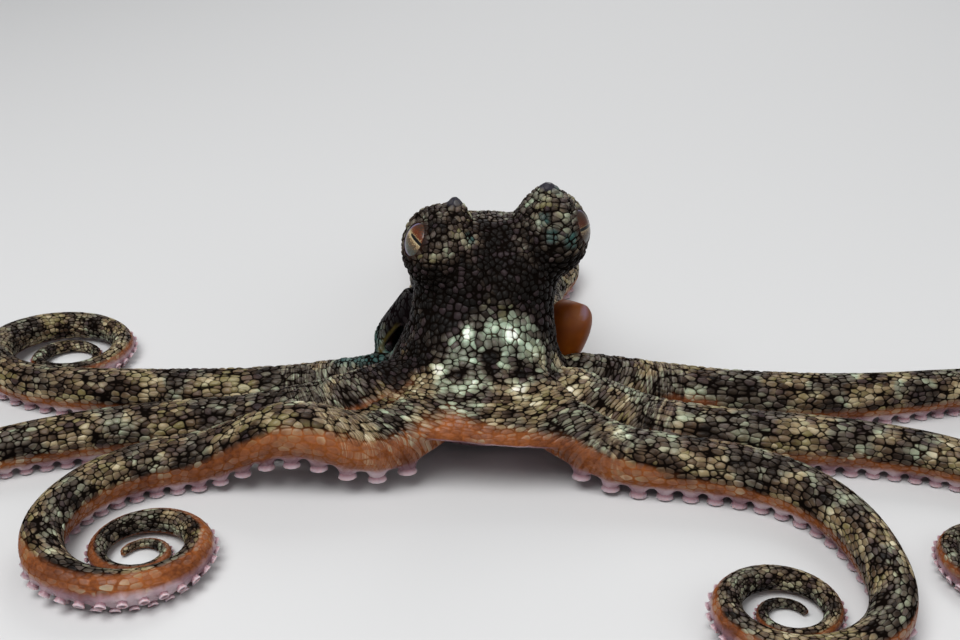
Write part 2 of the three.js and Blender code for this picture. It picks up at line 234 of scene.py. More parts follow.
def curvature(arm, s):
    offsets = np.linspace(-1, 1, armShape["bendSteps"]) * armShape["bendBlend"]
    return sum(plainCurvature(arm, max(0, s + offset)) for offset in offsets) / len(offsets)


# Height of the centre line over the floor for an arm that leans over by roll
def restHeight(roll):
    lows = [up * math.cos(roll) - way * across * math.sin(roll)
            for across, up in armShape["bottomCorners"] for way in (1, -1)]
    return -min(lows)


# The centre line in steps of one millimetre, with the directions across and up at each step
def walkArm(arm):
    shape = armShape
    heading = math.radians(arm["azimuth"] - 90)
    x, y = shape["rootReach"] * math.cos(heading), shape["rootReach"] * math.sin(heading)
    rows = {"centre": [], "across": [], "up": [], "radius": []}
    for s in range(arm["length"] + 1):
        share = s / arm["length"]
        radius = shape["tipRadius"]
        radius += (shape["rootRadius"] - shape["tipRadius"]) * (1 - share) ** shape["taper"]
        roll = shape["tipRoll"] * smoothStep(share, *shape["rollSpan"])
        z = blendTo(arm["rootHeight"], radius * restHeight(roll), smoothStep(s, 0, arm["settle"]))
        if abs(s - shape["archMiddle"]) < shape["archSpan"]:
            z += arm["arch"] * math.cos((s - shape["archMiddle"]) / shape["archSpan"] * math.pi / 2) ** 2
        left = np.array([-math.sin(heading), math.cos(heading), 0])
        upright = np.array([0, 0, 1])
        rows["centre"].append([x, y, z])
        rows["across"].append(left * math.cos(roll) - upright * arm["turn"] * math.sin(roll))
        rows["up"].append(left * arm["turn"] * math.sin(roll) + upright * math.cos(roll))
        rows["radius"].append(radius)
        heading += curvature(arm, s)
        x += math.cos(heading)
        y += math.sin(heading)
    for key, values in rows.items():
        arm[key] = np.array(values)
    arm["forward"] = np.cross(arm["across"], arm["up"])


for arm in arms:
    walkArm(arm)


# Points beside an arm's centre line, with their offsets in arm radii
def armPoint(arm, s, across, up):
    steps = np.arange(arm["length"] + 1)
    radius = np.interp(s, steps, arm["radius"])
    point = np.empty(np.shape(s) + (3,))
    for axis in range(3):
        centre, side, top = (np.interp(s, steps, arm[key][:, axis]) for key in ("centre", "across", "up"))
        point[..., axis] = centre + (side * across + top * up) * radius
    return point


# An arm's section: round above, with a flattened sole below
def armSection(turn):
    rise, reach = np.cos(turn), np.sin(turn)
    below = rise < 0
    downward, sideways = armShape["flatness"]
    depth = armShape["sole"] * np.abs(rise) ** downward
    up = armShape["middle"] + np.where(below, -depth, armShape["top"] * rise)
    across = np.sign(reach) * np.abs(reach) ** np.where(below, sideways, 1.0)
    return across, up


def makeArm(arm):
    def place(u, v):
        s = v * arm["length"]
        ends = np.minimum(s / armShape["rootCap"], (arm["length"] - s) / arm["radius"][-1])
        close = np.sqrt(np.clip(ends, 0, 1))
        across, up = armSection(2 * np.pi * u)
        return armPoint(arm, s, across * close, up * close)

    rings = round(arm["length"] / armShape["ring"])
    return shapedGrid("arm_" + arm["name"], armShape["around"], rings, place)


# Suckers: two rows along each arm, alternating

suckerShape = {
    "row": 0.42,  # distance of a row from the centre line, in arm radii
    "radius": 0.3,  # in arm radii
    "pitch": 1.45,  # step along the arm, in sucker radii
    "first": 22,  # distance of the first from the root and of the last from the tip
    "last": 3,
    "spread": 1.08,  # how much further apart the rows are at the stalks' feet
    "top": -0.5,  # top and foot of its stalk, in arm radii along the arm's up
    "foot": -0.93,
    "smallestStalk": 0.9,  # radius of sucker under which the skin has no stalk for it
    "around": {"stalk": 14, "cup": 10},
    "stalk": [(0, 1.2), (1.7, 1.1), (1.3, 0.7), (1, 0.35), (0.92, 0), (0, -0.05)],
    "cup": [(0, 0.5), (0.84, 0.45), (0.88, 0), (1.04, -0.42), (0.86, -0.52), (0.45, -0.34), (0, -0.24)],
    # the rows' tones: darker into the hollow and towards the stalk, partly painted shade
    "cupTones": [0, 0.3, 0.5, 1, 0.85, 0.25, 0],
}


def suckerPlaces(arm):
    places, s, side = [], suckerShape["first"], 1
    while s < arm["length"] - suckerShape["last"]:
        radius = np.interp(s, np.arange(arm["length"] + 1), arm["radius"]) * suckerShape["radius"]
        places.append((s, side, radius))
        s += radius * suckerShape["pitch"]
        side = -side
    return places


# A small round shape turned from a profile of (radius, height) rows, in units of its own radius
def turnedModel(name):
    rows = np.array(suckerShape[name], float)

    def place(u, v):
        row = np.round(v * (len(rows) - 1)).astype(int)
        turn = 2 * np.pi * u
        radius, height = rows[row].T
        return np.stack([radius * np.cos(turn), radius * np.sin(turn), height], -1)

    return shapedGrid(name, suckerShape["around"][name], len(rows) - 1, place)


# Where each sucker stands on its arm, with the way it faces, and its radius
def suckerStands(arm):
    stands = []
    for s, side, radius in suckerPlaces(arm):
        across = suckerShape["row"] * side
        top = armPoint(arm, np.array(s), across, suckerShape["top"])
        foot = armPoint(arm, np.array(s), across * suckerShape["spread"], suckerShape["foot"])
        stands.append((top, foot, arm["forward"][round(s)], radius))
    return stands


# A copy of the model on each stand's foot, which reaches up to the stand's top if it is stretched
def standCopies(name, model, stands, stretched=False):
    axes = []
    for top, foot, forward, radius in stands:
        upward = unit(top - foot)
        beside = unit(np.cross(forward, upward))
        length = np.linalg.norm(top - foot) / radius if stretched else 1
        axes.append(np.stack([beside, np.cross(upward, beside), upward * length]))
    feet, radii = [stand[1] for stand in stands], [stand[3] for stand in stands]
    copies = scatterCopies(name, model, feet, axes, radii)
    bpy.data.objects.remove(model)
    return copies


# The flesh is drawn down to each sucker in a short stalk.
def makeStalks(arm):
    stands = [stand for stand in suckerStands(arm) if stand[3] > suckerShape["smallestStalk"]]
    return standCopies("stalks", turnedModel("stalk"), stands, stretched=True)


# The cups under an arm, as one mesh, with a tone that rises from the hollow to the rim: paler at the rim,
# and darker into the hollow and towards the stalk, partly their own colour and partly painted shade
def makeCups(arm):
    stands = suckerStands(arm)
    model = turnedModel("cup")
    x, y, z = readSpots(model).T
    radii, heights = np.array(suckerShape["cup"]).T
    apart = np.abs(np.hypot(x, y)[:, None] - radii) + np.abs(z[:, None] - heights)
    tones = np.array(suckerShape["cupTones"])[apart.argmin(1)]
    cups = standCopies("suckers_" + arm["name"], model, stands)
    spots = readSpots(cups)
    spots[:, 2] = np.maximum(spots[:, 2], 0)
    placeSpots(cups, spots)
    storeAttribute(cups, "tone", np.tile(tones, len(stands)))
    return cups


# Webs

webShape = {
    "thickness": 2.4,
    "crown": 24,  # distance from the middle where the webs leave the crown
    "seat": 0.5,  # height of its edges over the arms' centre lines, in arm radii
    "start": 2,  # where its edges begin along the arms
    "grid": (44, 36),
}
# The web between two arms: how far it follows each, and its middle rib's reach and height at the
# crown, halfway and at the free margin
webs = [
    {"name": "front", "between": (7, 0), "azimuth": 0, "follow": (46, 46),
     "rib": [(25, 31), (36, 24.5), (43.5, 16.5)]},
    {"name": "left_12", "between": (0, 1), "azimuth": 48, "follow": (66, 60),
     "rib": [(23, 22), (39, 15), (55, 6)]},
    {"name": "left_23", "between": (1, 2), "azimuth": 82, "follow": (62, 58),
     "rib": [(22, 18), (38, 11), (54, 5)]},
    {"name": "left_34", "between": (2, 3), "azimuth": 130, "follow": (46, 46),
     "rib": [(20, 17), (29, 10), (38, 4.5)]},
    {"name": "back", "between": (3, 4), "azimuth": 180, "follow": (46, 46),
     "rib": [(20, 14), (29, 8), (38, 4.5)]},
    {"name": "right_34", "between": (4, 5), "azimuth": -130, "follow": (46, 46),
     "rib": [(20, 17), (29, 10), (38, 4.5)]},
    {"name": "right_23", "between": (5, 6), "azimuth": -84, "follow": (64, 64),
     "rib": [(22, 21), (40, 14), (58, 6)]},
    {"name": "right_12", "between": (6, 7), "azimuth": -51, "follow": (64, 60),
     "rib": [(23, 26), (40, 20), (56, 12)]},
]


def throughThree(near, middle, far, t):
    return near * (1 - t) * (1 - 2 * t) + middle * 4 * t * (1 - t) + far * t * (2 * t - 1)


def makeWeb(web):
    first, second = (arms[number] for number in web["between"])
    turn = math.radians(web["azimuth"])

    def place(u, v):
        onFirst, onSecond = (armPoint(arm, blendTo(webShape["start"], follow, v), 0, webShape["seat"])
                             for arm, follow in zip((first, second), web["follow"]))
        reach, height = (throughThree(*(row[k] for row in web["rib"]), v) for k in (0, 1))
        rib = np.stack([reach * math.sin(turn), -reach * math.cos(turn), height], -1)
        return throughThree(onFirst, rib, onSecond, u[:, None])

    piece = shapedGrid("web_" + web["name"], *webShape["grid"], place)
    applyModifier(piece, "SOLIDIFY", thickness=webShape["thickness"] * mm, offset=0)
    return piece


# Head, neck and crown

headShape = {
    "place": np.array([3, 2, 0]),
    "turn": math.radians(10),
    "core": [(1, 4, 48), (21, 20, 19)],
    "bellGrid": (72, 54),
    "bellEnds": (0.03, 0.05),  # shares of the bell's height over which its foot and its top close
}
# Height, reach to the front, the sides and the back, shift of the middle towards the animal's left
bell = [
    [0, 15, 15, 15, 0], [4, 22, 22, 22, -1], [9, 26, 26, 25, -2], [14, 28.5, 28, 25, -2.5],
    [20, 31, 27, 25, -2.5], [26, 32.5, 24.5, 25, -2.5], [31, 29, 23, 24.5, -1.5],
    [36, 23.5, 21.5, 23, -1], [44, 16.5, 21, 22, -0.5], [54, 12, 19, 20, 1],
]


def onHead(x, y, z):
    turn = headShape["turn"]
    turned = [x * math.cos(turn) - y * math.sin(turn), x * math.sin(turn) + y * math.cos(turn), z]
    return np.array(turned) + headShape["place"]


moundRadii = (11.8, 12.8, 13)
# Each eye's mound, the way its opening faces and its depth along that from the mound's middle, the way
# it gazes and its slit's roll, how much painted shade darkens its iris, and the horn over it: its shift
# towards the animal's left, root radius and height
eyes = [
    {"name": "left", "mound": onHead(16.5, 0, 61), "look": unit([0.89, -0.33, 0.32]), "depth": 4,
     "gaze": unit([0.78, -0.54, 0.29]), "roll": 0, "irisShade": 0.5, "horn": (-1, 7.5, 2.4)},
    {"name": "right", "mound": onHead(-16.2, 0, 58.5), "look": unit([-0.73, -0.5, 0.45]), "depth": 3.4,
     "gaze": unit([-0.52, -0.72, 0.45]), "roll": -28, "irisShade": 0, "horn": (4.2, 5.2, 2.4)},
]
eyeShape = {
    "radius": 8,
    "opening": (30, 37),  # half angles of the opening across and up, in degrees
    "lid": 0.3,  # height of the lid's edge over the eyeball
    "hidden": 1.5,  # depth in the eyeball of the flesh that the opening lays bare
    "edge": (-6, 3),  # degrees beyond the opening over which the lid rises, and those where it fades
    "fade": (7, 26),
    "reach": (18, 13),  # distance from the eye's middle where the lid begins and is full
    "refined": 16,  # distance within which the mesh is made finer
}
# What the horns share: place behind the mound's middle, length sunk in it, radius at the point
horn = {"back": 1, "sunk": 3, "tip": 0.8, "around": 24}
for eye in eyes:
    eye["centre"] = eye["mound"] + eye["look"] * eye["depth"]


def makeBell():
    def place(u, v):
        height = bell[-1][0] * v
        foot, top = headShape["bellEnds"]
        close = np.sqrt(np.clip(np.minimum(v / foot, (1 - v) / top), 0, 1))
        azimuth = 2 * np.pi * u
        ahead, beside = np.cos(azimuth), np.sin(azimuth)
        length = np.where(ahead > 0, column(bell, height, 1), column(bell, height, 3))
        reach = close / np.hypot(ahead / length, beside / column(bell, height, 2))
        return np.stack([reach * beside + column(bell, height, 4), -reach * ahead, height], -1)

    return shapedGrid("bell", *headShape["bellGrid"], place)


def makeHorn(eye):
    shift, radius, height = eye["horn"]
    rise = moundRadii[2] + (height - horn["sunk"]) / 2
    middle = Vector(eye["mound"]) + Vector((shift, horn["back"], rise))
    bpy.ops.mesh.primitive_cone_add(vertices=horn["around"], radius1=radius * mm, radius2=horn["tip"] * mm,
                                    depth=(height + horn["sunk"]) * mm, location=middle * mm)
    bpy.ops.object.transform_apply(location=True, rotation=True, scale=True)
    return bpy.context.object


# Share of each spot that lies near a horn's point, which is this high over its mound
def hornShare(spots, eye, height, span):
    peak = eye["mound"] + np.array([eye["horn"][0], horn["back"], moundRadii[2] + height])
    return smoothStep(farFrom(spots, peak), *span)


# Mantle

mantleShape = {
    "front": 17,
    "reach": 104,
    "shift": -1,  # sideways, by this share of its length
    "shifted": (0, 0.4),
    "bluntness": (7, 3.2),  # of its front and of its end
    "grid": (64, 80),
    # where its skin begins and is full: around it, along it and clear of the arms
    "skin": [(1.3, 1.1), (0.06, 0.2), (1.02, 1.12)],
}
# Share of its length, half width, top, bottom
mantleTable = [
    [0, 18, 47, 26], [0.12, 21, 51, 16], [0.25, 23.5, 49, 7], [0.45, 25, 43, 3],
    [0.65, 25, 37, 8], [0.85, 22.5, 31, 12], [1, 18, 25, 14],
]
collarShape = {
    "edge": [(-20, 10, 38), (-25, 9, 30.5), (-30, 9, 24), (-32.3, 9, 20), (-30.5, 9.5, 15)],
    "root": [(-18, 32, 31), (-21, 33, 27), (-24, 34, 22), (-25, 36, 17), (-25, 38, 10)],
    "outward": (-0.9, -0.1, 0.35),
    "bulge": 5,
    "thickness": 2.6,
    "grid": (32, 26),
    "pocket": [(-24, 21, 25), (8, 10, 9)],
    # the flank gets the hollow's painted near-black shade
    "flank": [(-25, 34, 12), (11, 8, 10.5)],  # flesh behind the gap
    "region": [(-31, 22, 24), (16, 24, 24)],  # middle and reach of the box that its colours fill
    "rim": (0.35, 1, 60),  # where its bare rim begins and ends along its edge, and in how many points
    "shade": 0.75,  # how dark the painted shade makes the skin above it, as a share of the hollow's shade colour
}


def mantleSection(share):
    bluntness = np.where(share < 0.5, *mantleShape["bluntness"])
    close = np.sqrt(np.clip(1 - np.abs(2 * share - 1) ** bluntness, 0, 1))
    width, top, bottom = (column(mantleTable, share, number) for number in (1, 2, 3))
    shift = mantleShape["shift"] * smoothStep(share, *mantleShape["shifted"])
    return shift, width * close, (top + bottom) / 2, (top - bottom) / 2 * close


def makeMantle():
    def place(u, v):
        share = (1 - np.cos(np.pi * v)) / 2
        shift, width, middle, half = mantleSection(share)
        turn = 2 * np.pi * u
        y = mantleShape["front"] + mantleShape["reach"] * share
        return np.stack([shift + width * np.cos(turn), y, middle + half * np.sin(turn)], -1)

    mantle = shapedGrid("mantle", *mantleShape["grid"], place)
    pocket = shapedBall("pocket", *collarShape["pocket"])
    applyModifier(mantle, "BOOLEAN", operation="DIFFERENCE", object=pocket, solver="EXACT")
    bpy.data.objects.remove(pocket)
    return mantle


# A smooth line through the points of a short list, at shares t of it
def alongPoints(points, t):
    points = np.array(points, float)
    padded = np.vstack([2 * points[0] - points[1], points, 2 * points[-1] - points[-2]])
    place = np.clip(t, 0, 1) * (len(points) - 1)
    number = np.minimum(place.astype(int), len(points) - 2)
    x = (place - number)[:, None]
    a, b, c, d = (padded[number + k] for k in range(4))
    return 0.5 * (2 * b + (c - a) * x + (2 * a - 5 * b + 4 * c - d) * x ** 2
                  + (3 * b - a - 3 * c + d) * x ** 3)


def makeCollar():
    shape = collarShape

    def place(u, v):
        bulge = np.sin(v * np.pi)[:, None] * shape["bulge"] * unit(shape["outward"])
        return blendTo(alongPoints(shape["edge"], u), alongPoints(shape["root"], u), v[:, None]) + bulge

    piece = shapedGrid("collar", *shape["grid"], place)
    applyModifier(piece, "SOLIDIFY", thickness=shape["thickness"] * mm, offset=0)
    return piece


# One skin over all the flesh

skinShape = {
    "voxel": 0.75,
    "triangles": 196000,
    "relief": 0.42,  # height of the skin's grains
    "reliefReach": (130, 80),  # distance from the middle beyond which the arms are too fine for it
}
# How far each round of smoothing goes, and where the broad round acts: by distance from the middle, by
# height, and away from the arms' soles and the horns
smoothing = {
    "broad": 50,
    "fine": 4,
    "skirt": (95, 60),
    "height": (2, 9),
    "sole": (-0.25, -0.55),
    "arm": (1.6, 1.3),
    "horn": (7, 3),
    "hornHeight": 1,
}


# For each spot: the nearest arm's number, the place along it, and the offsets across and up in radii
def measureArms(spots):
    marks = [(number, s) for number, arm in enumerate(arms) for s in range(arm["length"] + 1)]
    tree = kdtree.KDTree(len(marks))
    for index, (number, s) in enumerate(marks):
        tree.insert(arms[number]["centre"][s], index)
    tree.balance()
    found = np.array([tree.find(spot)[1] for spot in spots])
    whole = {key: np.concatenate([arm[key] for arm in arms])[found]
             for key in ("centre", "across", "up", "forward", "radius")}
    number, s = np.array(marks)[found].T
    offset = spots - whole["centre"]
    along, across, up = ((offset * whole[key]).sum(1) for key in ("forward", "across", "up"))
    across, up = across / whole["radius"], up / whole["radius"]
    return {"number": number, "s": s + along, "radius": whole["radius"], "across": across, "up": up,
            "reach": np.hypot(across, up)}


def makeFlesh():
    pieces = [makeArm(arm) for arm in arms]
    pieces += [makeStalks(arm) for arm in arms]
    print("arms and stalks shaped")
    pieces += [makeWeb(web) for web in webs]
    pieces += [makeBell(), shapedBall("core", *headShape["core"], headShape["turn"])]
    pieces += [shapedBall("mound", eye["mound"], moundRadii, headShape["turn"]) for eye in eyes]
    pieces += [makeHorn(eye) for eye in eyes]
    pieces += [makeMantle(), makeCollar(), shapedBall("flank", *collarShape["flank"])]
    flesh = joinPieces("octopus_skin", pieces)
    print("flesh shaped:", countTriangles(flesh), "triangles")
    applyModifier(flesh, "REMESH", mode="VOXEL", voxel_size=skinShape["voxel"] * mm)
    print("flesh joined:", countTriangles(flesh), "triangles")
    return flesh


def softenFlesh(flesh):
    spots = readSpots(flesh)
    x, y, z = spots.T
    arm = measureArms(spots)
    skirt = smoothStep(np.hypot(x, y), *smoothing["skirt"]) * smoothStep(z, *smoothing["height"])
    sole = smoothStep(arm["up"], *smoothing["sole"]) * smoothStep(arm["reach"], *smoothing["arm"])
    horns = np.maximum.reduce([hornShare(spots, eye, smoothing["hornHeight"], smoothing["horn"])
                               for eye in eyes])
    broad = weighVertices(flesh, "broad", skirt * (1 - sole) * (1 - horns))
    applyModifier(flesh, "SMOOTH", factor=0.5, iterations=smoothing["broad"], vertex_group=broad)
    applyModifier(flesh, "SMOOTH", factor=0.5, iterations=smoothing["fine"])
    flesh.vertex_groups.clear()
    print("flesh softened")


# The furrow down the front of the head between the mounds: its line, depth, half width, heights, and how
# far forwards the skin faces where it sinks
furrow = {"middle": 3.5, "depth": 3.4, "half": 7, "heights": (47, 56, 64, 69), "facing": (0.1, 0.5)}


def shapeFurrow(flesh):
    spots, normals = readSpots(flesh), readNormals(flesh)
    low, full, top, end = furrow["heights"]
    beside = np.abs(spots[:, 0] - furrow["middle"]) / furrow["half"]
    depth = furrow["depth"] * smoothStep(beside, 1, 0) * smoothStep(-normals[:, 1], *furrow["facing"])
    depth *= smoothStep(spots[:, 2], low, full) * smoothStep(spots[:, 2], end, top)
    placeSpots(flesh, spots + np.array([0, 1, 0]) * depth[:, None])


# Eyelids

# Three directions: level, upward and ahead, the first two turned by roll
def eyeAxes(ahead, roll=0):
    level = unit(np.cross([0, 0, 1], ahead))
    upward = np.cross(ahead, level)
    turn = math.radians(roll)
    return np.stack([level * math.cos(turn) + upward * math.sin(turn),
                     upward * math.cos(turn) - level * math.sin(turn), ahead])


# Angle from the eye's axis in degrees beyond the edge of its opening, and distance from its middle
def measureEye(eye, spots):
    offset = spots - eye["centre"]
    distance = np.linalg.norm(offset, axis=1)
    x, y, ahead = (offset @ axis / distance for axis in eyeAxes(eye["look"]))
    turn = np.arctan2(y, x)
    across, upward = eyeShape["opening"]
    opening = 1 / np.hypot(np.cos(turn) / across, np.sin(turn) / upward)
    return np.degrees(np.arccos(np.clip(ahead, -1, 1))) - opening, distance


def shapeLids(flesh):
    for eye in eyes:
        middle = Vector(eye["centre"]) * mm
        near = eyeShape["refined"] * mm
        for face in flesh.data.polygons:
            face.select = (face.center - middle).length < near
        selectOnly(flesh)
        bpy.ops.object.mode_set(mode="EDIT")
        bpy.ops.mesh.select_mode(type="FACE")
        bpy.ops.mesh.subdivide(number_cuts=1, smoothness=0)
        bpy.ops.object.mode_set(mode="OBJECT")
        spots = readSpots(flesh)
        beyond, distance = measureEye(eye, spots)
        hidden, crest = eyeShape["radius"] - eyeShape["hidden"], eyeShape["radius"] + eyeShape["lid"]
        target = blendTo(hidden, crest, smoothStep(beyond, *eyeShape["edge"]))
        weight = (1 - smoothStep(beyond, *eyeShape["fade"])) * smoothStep(distance, *eyeShape["reach"])
        stretch = blendTo(distance, target, weight) / distance
        placeSpots(flesh, eye["centre"] + (spots - eye["centre"]) * stretch[:, None])
    print("eyelids shaped")


# The grains follow the body: round on the head, drawn out across the webs towards their margins.
grainFlow = {
    "size": 2.15,
    "girth": [(0, 0), (20, 20), (33, 28), (60, 37), (90, 50), (340, 250)],
    "fall": [(0, 0), (24, 0), (34, 8), (60, 52), (90, 92), (340, 260)],
    "crowding": [(44, 1), (54, 1.22)],  # by height
    "rise": [(0, 0), (44, 44), (54, 55.1), (90, 99)],
    "armSize": (2, 0.9),  # at an arm's root and at its tip
    "armStretch": 0.62,  # how much closer the pattern runs along an arm than round it
    "armStart": (46, 62),  # distance from the middle where the arms' pattern takes over
    "armsApart": 17.3,  # shift from one arm's pattern to the next, in grains
    "mantleSize": 2.4,
    "scatter": 0.75,
    "rounding": 0.5,  # how far a grain's corners are rounded off
    "lift": 0.23,  # makes up for what the rounding takes off
    "dome": (-0.08, 0.34),  # where a grain's rounded edge begins and ends, in grain sizes
    "heights": (-0.6, 0.4),  # of a groove and of a grain's top, as shares of the relief
}


def mantleShare(spots, arm):
    x, y, z = spots.T
    share = (y - mantleShape["front"]) / mantleShape["reach"]
    shift, width, middle, half = mantleSection(np.clip(share, 0.01, 0.99))
    around, along, clear = mantleShape["skin"]
    beside = np.hypot((x - shift) / width, (z - middle) / half)
    return smoothStep(beside, *around) * smoothStep(share, *along) * smoothStep(arm["reach"], *clear)


# The pattern's place on the crown's flow and on the body's, which is the arms' and mantle's, and the
# share of the second
def grainCoordinates(spots, arm):
    x, y, z = spots.T
    reach = np.hypot(x, y)
    girth = column(grainFlow["girth"], reach) / np.maximum(reach, 1)
    girth *= column(grainFlow["crowding"], z)
    rise = column(grainFlow["rise"], z) - column(grainFlow["fall"], reach)
    crown = np.stack([x * girth, y * girth, rise], -1) / grainFlow["size"]
    length = np.array([each["length"] for each in arms])[arm["number"]]
    root, tip = grainFlow["armSize"]
    size = blendTo(root, tip, np.clip(arm["s"] / length, 0, 1))
    run = length / (tip - root) * np.log(size / root) * grainFlow["armStretch"]
    along = np.stack([arm["across"] * arm["radius"] / size, arm["up"] * arm["radius"] / size, run], -1)
    along += arm["number"][:, None] * grainFlow["armsApart"]
    mantle = mantleShare(spots, arm)
    body = np.where(mantle[:, None] > 0.5, spots / grainFlow["mantleSize"], along)
    onArm = smoothStep(arm["reach"], *armShape["skin"]) * smoothStep(reach, *grainFlow["armStart"])
    return crown, body, np.maximum(mantle, onArm)


# Short names of the nodes used most, with their usual settings. Arithmetic goes by its own names.
nodeKinds = {
    "attribute": ("ShaderNodeAttribute", {}),
    "noise": ("ShaderNodeTexNoise", {}),
    "ramp": ("ShaderNodeValToRGB", {}),
    "mix": ("ShaderNodeMix", {"data_type": "RGBA"}),
    "remap": ("ShaderNodeMapRange", {"interpolation_type": "SMOOTHSTEP"}),
}
for operation in ("ADD", "SUBTRACT", "MULTIPLY", "MULTIPLY_ADD", "DIVIDE", "POWER", "ABSOLUTE"):
    nodeKinds[operation] = ("ShaderNodeMath", {"operation": operation})


# Adds a node with its settings and inputs. A ramp's stops are places and colours.
def addNode(tree, kind, inputs=(), stops=(), **settings):
    kind, usual = nodeKinds.get(kind, (kind, {}))
    node = tree.nodes.new(kind)
    for name, value in {**usual, **settings}.items():
        setattr(node, name, value)
    setInputs(node, inputs)
    for number, (place, colour) in enumerate(stops):
        if number > 1:
            node.color_ramp.elements.new(1)
        node.color_ramp.elements[number].position = place
        node.color_ramp.elements[number].color = linear(colour)
    return node


# Gives a node's inputs, in their order or by name, a value, a colour in sRGB hex, or the output of
# another node
def setInputs(node, inputs):
    sockets = [socket for socket in node.inputs if socket.enabled]
    named = inputs if isinstance(inputs, dict) else dict(enumerate(inputs))
    for key, value in named.items():
        socket = sockets[key] if isinstance(key, int) else next(s for s in sockets if s.name == key)
        if isinstance(value, bpy.types.Node):
            value = next(output for output in value.outputs if output.enabled)
        if isinstance(value, bpy.types.NodeSocket):
            node.id_data.links.new(value, socket)
        else:
            socket.default_value = linear(value) if str(value)[0] == "#" else value


def linear(colour):
    parts = [int(colour[k:k + 2], 16) / 255 for k in (1, 3, 5)]
    return tuple(p / 12.92 if p <= 0.04045 else ((p + 0.055) / 1.055) ** 2.4 for p in parts) + (1,)


# The pattern of grains on the crown's flow and on the body's, mixed by share: how far inside its
# rounded grain each place lies, and the grain's own tones
def grainPattern(tree, flows, share):
    insides, cells = [], []
    for flow in flows:
        inputs = {"Vector": flow, "Scale": 1, "Randomness": grainFlow["scatter"]}
        edge, cell = (addNode(tree, "ShaderNodeTexVoronoi", inputs, feature=feature)
                      for feature in ("DISTANCE_TO_EDGE", "F1"))
        lifted = addNode(tree, "ADD", (edge, grainFlow["lift"]))
        insides.append(addNode(tree, "MULTIPLY_ADD", (cell, -grainFlow["rounding"], lifted)))
        cells.append(cell.outputs["Color"])
    return addNode(tree, "ShaderNodeMix", (share, *insides)), addNode(tree, "mix", (share, *cells))


def raiseGrains(flesh):
    tree = bpy.data.node_groups.new("raisedGrains", "GeometryNodeTree")
    for way in ("INPUT", "OUTPUT"):
        tree.interface.new_socket("Geometry", in_out=way, socket_type="NodeSocketGeometry")
    kinds = {"crownGrains": "FLOAT_VECTOR", "bodyGrains": "FLOAT_VECTOR", "bodyShare": "FLOAT",
             "raised": "FLOAT"}
    crown, body, share, relief = (
        addNode(tree, "GeometryNodeInputNamedAttribute", {"Name": name}, data_type=kind)
        for name, kind in kinds.items())
    inside = grainPattern(tree, (crown, body), share)[0]
    dome = addNode(tree, "remap", (inside, *grainFlow["dome"], *grainFlow["heights"]))
    height = addNode(tree, "MULTIPLY", (dome, relief))
    normal = addNode(tree, "GeometryNodeInputNormal")
    offset = addNode(tree, "ShaderNodeVectorMath", {0: normal, "Scale": height}, operation="SCALE")
    start = addNode(tree, "NodeGroupInput")
    moved = addNode(tree, "GeometryNodeSetPosition", {"Geometry": start, "Offset": offset})
    addNode(tree, "NodeGroupOutput", [moved])
    applyModifier(flesh, "NODES", node_group=tree)
    print("grains raised")


# Where the skin's colours lie: its lightness by height on the front of the head and crown, and each
# mark as a place on the skin, a radius and, for a tone, how much lighter it makes the skin
skinLight = {
    "front": [(0, 0.34), (14, 0.37), (22, 0.44), (30, 0.46), (35, 0.5), (38, 0.56), (41, 0.54), (43.5, 0.32),
              (46, 0.16), (54, 0.12), (66, 0.14), (74, 0.2)],
    "behind": 0.36,
    "arm": 0.37,
    "mantle": 0.36,
    # Where it darkens at the neck, partly the skin's own colour and partly painted shade on the neck's
    # sides:
    # the side, degrees from the front, their growth per mm down from neckTop, which goes on for neckDrop,
    # and the amount
    "neckSide": [(-1, 10, 1.3, 0.55), (1, 30, 1.9, 0.45)],
    "neckTop": 45,
    "neckDrop": (-6, 30),
    "neckFade": 20,  # degrees over which it darkens
    "collar": 0.05,
    "collarFoot": 0.26,
}
skinMarks = {
    "tones": [(7.5, -19, 39, 3.6, 0.55), (-5, -20, 39.5, 3, 0.55), (1.5, -19, 40.5, 3.5, 0.2),
              (9.5, -32, 27, 4.5, 0.4), (-6, -32, 28, 4, 0.3), (-13, -26, 30, 4, 0.3),
              (13, -27, 29, 1.4, 0.5), (4, -12.5, 58, 1.8, 0.5), (38, -40, 19, 4, 0.3),
              (-10, -12, 61, 14, 0.15), (18, -7, 65, 14, 0.1), (1, -25, 34.5, 3.6, -0.55),
              (-7, -28, 31, 2.2, -0.5), (10, -26, 30.5, 2.2, -0.5), (0, -32, 28.5, 1.8, -0.4),
              # the three marks on the next line darken the furrow between the mounds: painted shade
              (3.5, -2, 66, 8, -0.3), (3.5, -8, 61, 8, -0.3), (3.5, -13, 54, 8, -0.25)],
    "teal": [(16.5, -4.5, 69, 3), (19, -7, 64.5, 3), (25, -6, 63, 3.5), (21, 4, 75, 3), (-4.5, -8, 64, 2.5)],
    "core": 0.3,  # share of its radius that a mark fills
}
# Where the rust of a web's margin begins, by azimuth, as a share of the way to the margin
rustStart = [(-180, 0.85), (-70, 0.85), (-45, 0.6), (-24, 0.34), (0, 0.72), (27, 0.66), (60, 0.85),
             (180, 0.85)]
# How high on an arm's side it reaches, by azimuth, in arm radii
rustHeight = [(-75, 0.2), (-50, 0.85), (-12, 0.85), (15, 0.35), (50, 0.3), (75, 0.2)]
rustFade = {"web": 0.3, "arm": 0.7}  # how much further on the rust is full
